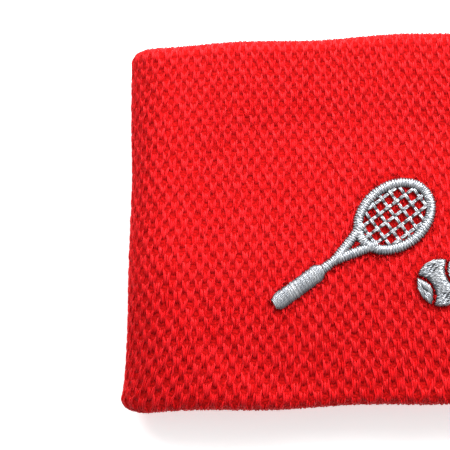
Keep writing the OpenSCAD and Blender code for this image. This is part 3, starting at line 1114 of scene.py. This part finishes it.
def elastic():
    """The elastic yarns, laid in rings between the plies."""
    low, high = corners("elastic_yarns_back")[0][1], corners("elastic_yarns_back")[1][1]
    rings = round((high - low - 2 * ELASTIC_R) / ELASTIC_PITCH) + 1
    v = (low + high) / 2 + (np.arange(rings) - (rings - 1) / 2) * ELASTIC_PITCH
    for number, stretch in enumerate(STRETCHES):
        s, place = np.meshgrid(stretch_span(number, FOLD_R, 0.9 * MM), v)
        wave = ELASTIC_WAVE * np.sin(s * TAU / ELASTIC_WAVE_LENGTH + place * 900)
        made = Piece(f"elastic_{stretch}")
        made.yarns(carry(s, place + wave, -ELASTIC_DEPTH), outward(s, place), ELASTIC_R, ELASTIC_R,
                   ELASTIC, 8)
        settle(made.make(), number, ["elastic_yarns"])


LABEL_T = 0.22 * MM
LABEL_RISE, LABEL_WAVE, LABEL_CUP = 2.5 * MM, 0.12 * MM, 0.10 * MM
LABEL_STITCH = 1.6 * MM


def care_label():
    """The folded woven label: its root is caught in the seam, and its flap lies on the lining."""
    root, flap = corners("care_label_root"), corners("care_label_flap")
    x = np.linspace(root[0][0], root[1][0], 25)
    root_y, tip_y = root[0][1], flap[1][1]
    middle = (root[0][2] + root[1][2]) / 2
    lift = (flap[0][2] + flap[1][2]) / 2 - middle
    reach_y = tip_y - root_y
    fold = (flap[1][2] - flap[0][2]) / 2 - LABEL_T / 2

    def layer(offset):
        """Points of the label's centre line: up over the flap's top, round the tip and back."""
        straight = np.linspace(0, 1, 33)
        y = root_y + (reach_y - fold) * straight
        blend = np.clip((y - root[1][1]) / LABEL_RISE, 0, 1)
        z = middle + lift * blend * blend * (3 - 2 * blend)
        z = z + LABEL_WAVE * np.sin(straight * 7.0) * blend
        turn = np.linspace(0, math.pi, 9)[1:-1]
        tip = root_y + reach_y - fold
        top = np.stack([y, z + fold], 1)
        bend = np.stack([tip + fold * np.sin(turn), z[-1] + fold * np.cos(turn)], 1)
        under = np.stack([y, z - fold], 1)[::-1]
        line = np.concatenate([top, bend, under])
        normal = unit(np.stack([-np.gradient(line[:, 1]), np.gradient(line[:, 0])], 1))
        return line + normal * offset

    made = Piece("care_label")
    cup = LABEL_CUP * (x[:, None] / x[-1]) ** 2
    grid = []
    for line in (layer(LABEL_T / 2), layer(-LABEL_T / 2)):
        y, z = line.T[:, None]
        z = z + cup * np.clip((y - root_y) / reach_y, 0, 1)
        grid.append(slacken(np.stack(np.broadcast_arrays(x[:, None], y, z), -1)))
    made.slab(np.stack(grid), LABEL)
    piece = made.make()
    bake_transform(piece)
    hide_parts("care_label_root", "care_label_flap")


def label_stitches():
    low, high = corners("label_stitches")
    count = round((high[0] - low[0]) / LABEL_STITCH)
    t = np.linspace(0, 1, 7)[None, :]
    start = low[0] + (high[0] - low[0]) * (np.arange(count)[:, None] + 0.12) / count
    x = start + (high[0] - low[0]) * 0.76 / count * t
    arch = np.sin(math.pi * t) ** 0.5
    z = high[2] - STITCH_D / 2 - 0.3 * MM * (1 - arch) + 0 * x
    y = (low[1] + high[1]) / 2 + 0 * x
    made = Piece("label_thread")
    up = np.broadcast_to(np.array([0.0, 0.0, 1.0]), x.shape + (3,))
    # The thread darkens where it dips into the label, by 1 - arch as deep: painted shade.
    made.yarns(slacken(np.stack([x, y, z], -1)), up, STITCH_D * 0.45, STITCH_D * 0.4, LINKING, 6,
               1 - arch)
    settle_whole(made.make(), "back_half", "linking_thread", "label_stitches")


puffed = swelling()
parts = planned_stitches()
needle_holes = np.array([end for threads in parts.values() for pair in threads.ends for end in pair])
outer_knit(needle_holes)
lining()
seam()
elastic()
care_label()
label_stitches()
backing()
embroidery(parts)
pulled_yarns(needle_holes)

# ---- Floor, light and camera ----

def floor():
    mesh = bpy.data.meshes.new("floor")
    half = 1.5
    mesh.from_pydata([(-half, -half, 0), (half, -half, 0), (half, half, 0), (-half, half, 0)], [],
                     [(0, 1, 2, 3)])
    made = bpy.data.objects.new("floor", mesh)
    bpy.context.scene.collection.objects.link(made)
    paper = Shader("paper", Roughness=0.9, Emission_Color=(1, 1, 1, 1), Emission_Strength=0.5)
    grain = paper.ramp(paper.noise(40.0), (0.3, (0.9, 0.9, 0.9)), (0.7, (0.94, 0.94, 0.94)))
    mesh.materials.append(paper.done(grain))


def area_light(name, place, aim, size, power):
    light = bpy.data.lights.new(name, "AREA")
    light.size = size
    light.energy = power
    made = bpy.data.objects.new(name, light)
    bpy.context.scene.collection.objects.link(made)
    made.location = place
    made.rotation_euler = (Vector(aim) - Vector(place)).to_track_quat("-Z", "Y").to_euler()


VIEW_AT = Vector((-25.8 * MM, -0.25 * MM, BAND_H))
VIEW_DISTANCE = 0.32
VIEW_TILT = math.radians(7)
VIEW_ROLL = math.radians(2.3)
VIEW_WIDTH = 83.5 * MM


def camera():
    data = bpy.data.cameras.new("camera")
    data.sensor_width = 36
    data.lens = data.sensor_width * VIEW_DISTANCE / VIEW_WIDTH
    data.clip_start = 0.01
    made = bpy.data.objects.new("camera", data)
    bpy.context.scene.collection.objects.link(made)
    back = Vector((0, -math.sin(VIEW_TILT), math.cos(VIEW_TILT)))
    up = Vector((math.sin(VIEW_ROLL), math.cos(VIEW_ROLL), 0))
    across = up.cross(back).normalized()
    facing = Matrix((across, back.cross(across), back)).transposed()
    made.matrix_world = Matrix.Translation(VIEW_AT + back * VIEW_DISTANCE) @ facing.to_4x4()
    bpy.context.scene.camera = made


def world():
    """An overcast studio, brighter towards the key light and darker behind the camera's left."""
    made = bpy.data.worlds.new("studio")
    made.use_nodes = True
    tree = made.node_tree
    place = tree.nodes.new("ShaderNodeTexCoord").outputs["Generated"]
    toward = tree.nodes.new("ShaderNodeVectorMath")
    toward.operation = "DOT_PRODUCT"
    put(tree, toward, _0=place, _1=(0.30, 0.82, 0.48))
    fade = tree.nodes.new("ShaderNodeMapRange")
    put(tree, fade, _0=toward.outputs["Value"], _1=-0.6, _2=0.9, _3=0.14, _4=0.85)
    put(tree, tree.nodes["Background"], Color=(1, 1, 1, 1), Strength=fade.outputs[0])
    bpy.context.scene.world = made


floor()
area_light("key", (0.27, 0.41, 0.37), (-0.01, 0, 0), 0.45, 7.3)
area_light("fill", (-0.36, 0.46, 0.30), (0, 0, 0), 0.3, 2.7)
world()
camera()
bpy.context.scene.view_settings.view_transform = "Standard"
